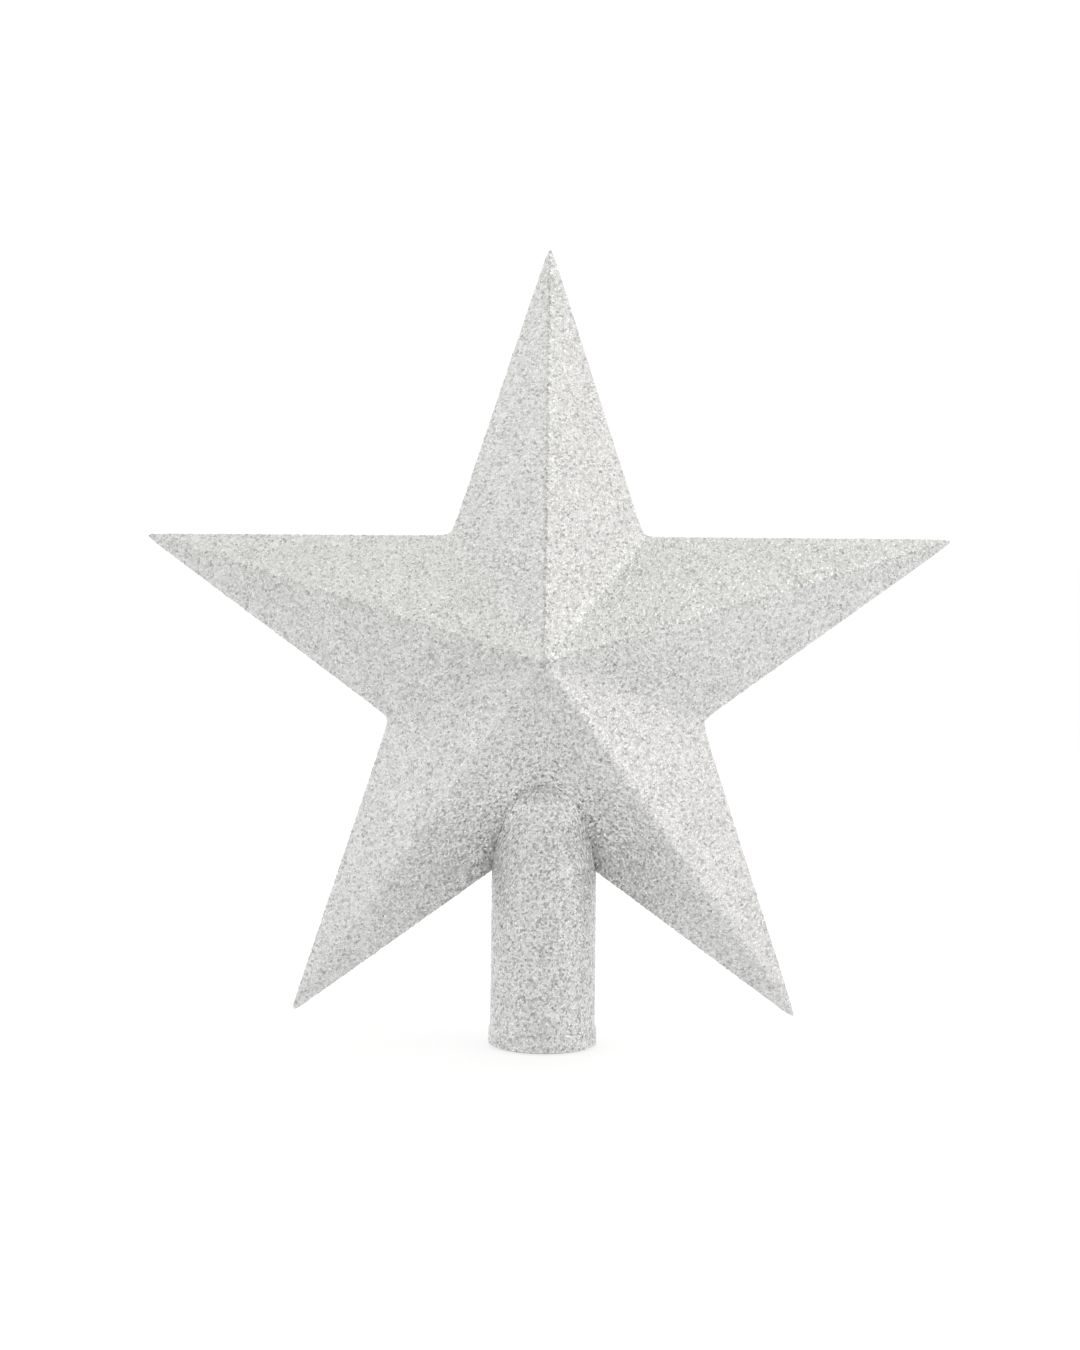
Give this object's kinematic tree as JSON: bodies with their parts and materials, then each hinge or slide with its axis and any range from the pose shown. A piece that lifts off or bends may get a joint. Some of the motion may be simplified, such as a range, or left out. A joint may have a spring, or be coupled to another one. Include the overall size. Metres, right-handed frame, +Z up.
{
  "type": "tree topper star",
  "caption": "Hollow glittered five-pointed star with sloping facets front and back, on a round blind socket that slips over a tree's top shoot.",
  "frame": {"origin": "centre of the socket's mouth, level with its rim", "axes": "+Z up, along the socket towards the star's top arm; -Y out of the star's front; +X to the right seen from the front"},
  "size_m": [0.1898, 0.059, 0.1877],
  "materials": {
    "silver_glitter": "silver polyester glitter flakes bonded all over",
    "silver_plastic": "moulded silver-grey polystyrene, satin",
    "clear_glue": "set glue and welded plastic, slightly cloudy"
  },
  "bodies": {
    "root": {"front_shell": "silver_plastic", "back_shell": "silver_plastic", "socket_tube": "silver_plastic", "seam_weld_bead": "clear_glue", "socket_glue_front": "clear_glue", "socket_glue_back": "clear_glue", "front_glitter_coat": "silver_glitter", "back_glitter_coat": "silver_glitter", "socket_glitter_coat": "silver_glitter"}
  },
  "joints": []
}
